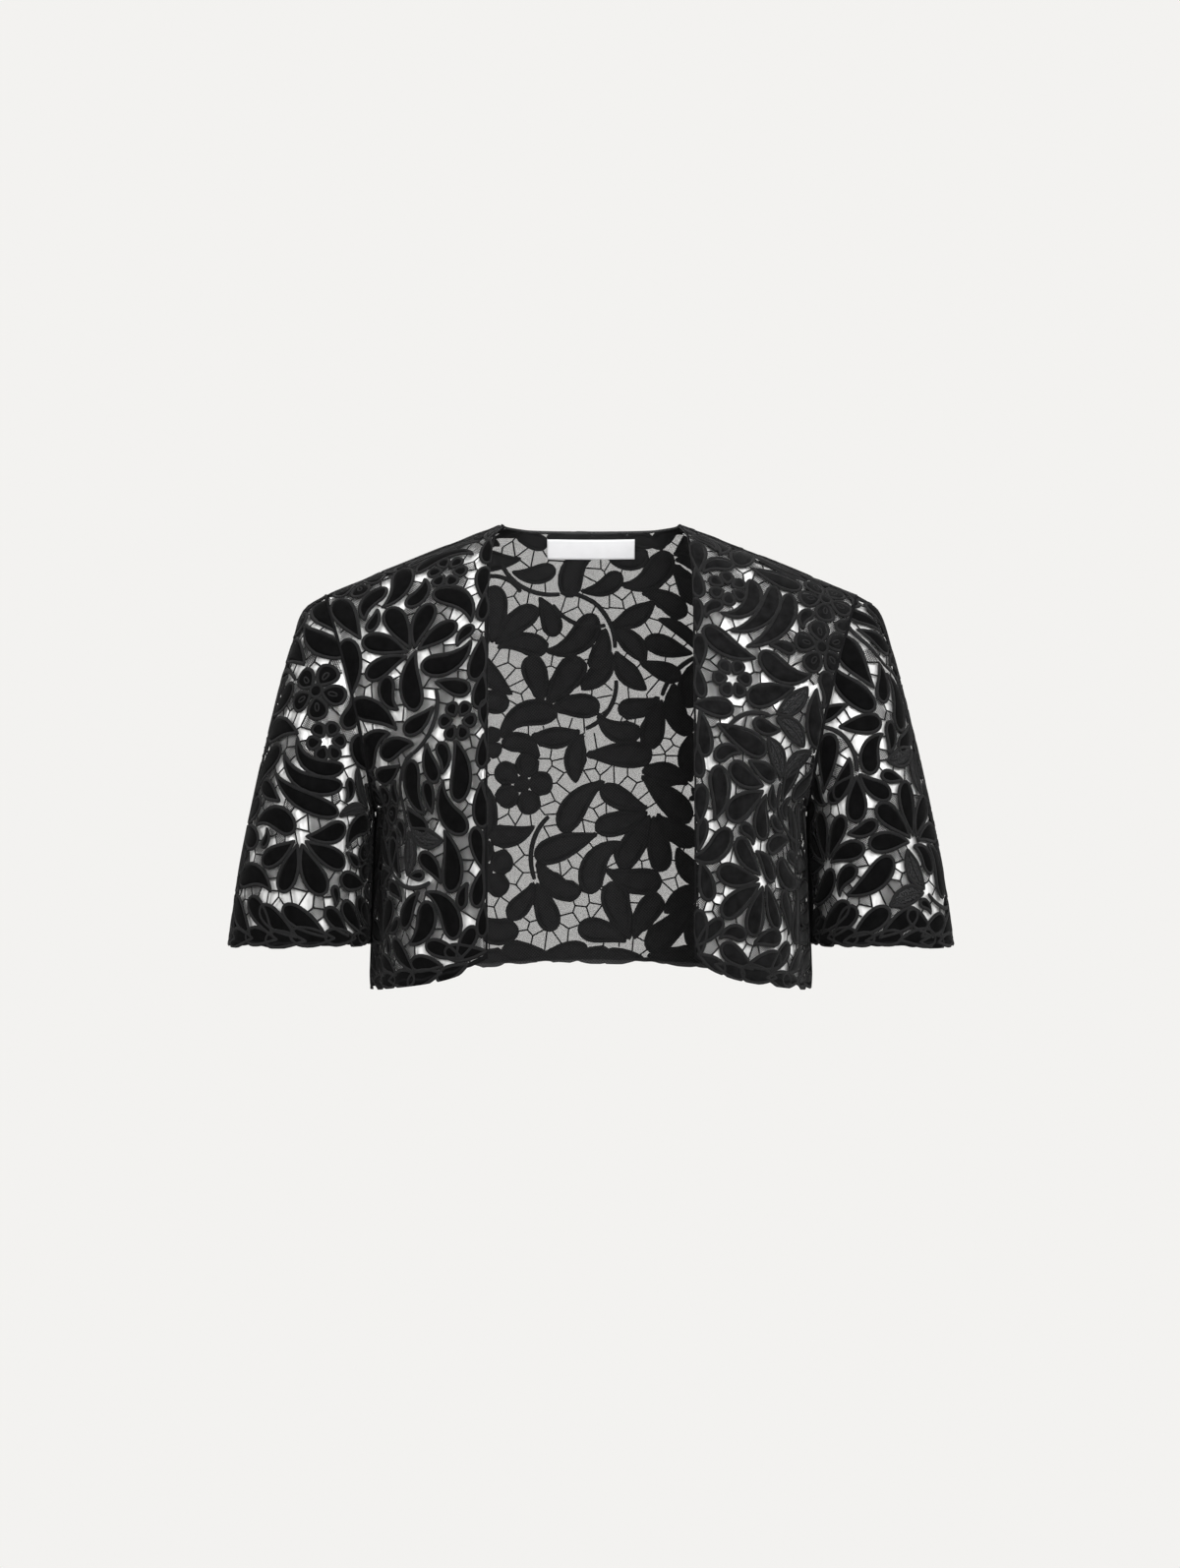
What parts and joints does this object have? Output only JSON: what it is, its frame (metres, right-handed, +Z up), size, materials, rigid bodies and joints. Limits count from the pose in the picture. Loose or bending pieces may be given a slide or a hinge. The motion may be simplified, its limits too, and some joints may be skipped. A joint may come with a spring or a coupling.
{
  "type": "lace bolero jacket",
  "caption": "Cropped, open-fronted, collarless bolero jacket of black velvet lace with short set-in sleeves, hollow as worn, carried by the wearer's shoulders.",
  "frame": {"origin": "midway between the neck ends of the two shoulder seams, where the wearer's shoulders carry the garment", "axes": "+Z up, -Y out of the garment's front, +X towards the wearer's left sleeve"},
  "size_m": [0.54, 0.2263, 0.3443],
  "materials": {
    "black_velvet_lace": "black velvet motifs with corded edges, joined by thin bars over black net",
    "pale_underlay": "thin pale satin with a soft shine and small creases",
    "bare_label": "plain white woven tape, with nothing on it"
  },
  "bodies": {
    "root": {"front_left": "black_velvet_lace", "front_right": "black_velvet_lace", "back": "black_velvet_lace", "sleeve_left": "black_velvet_lace", "sleeve_right": "black_velvet_lace", "front_left_underlay": "pale_underlay", "front_right_underlay": "pale_underlay", "sleeve_left_underlay": "pale_underlay", "sleeve_right_underlay": "pale_underlay", "label": "bare_label"}
  },
  "joints": []
}
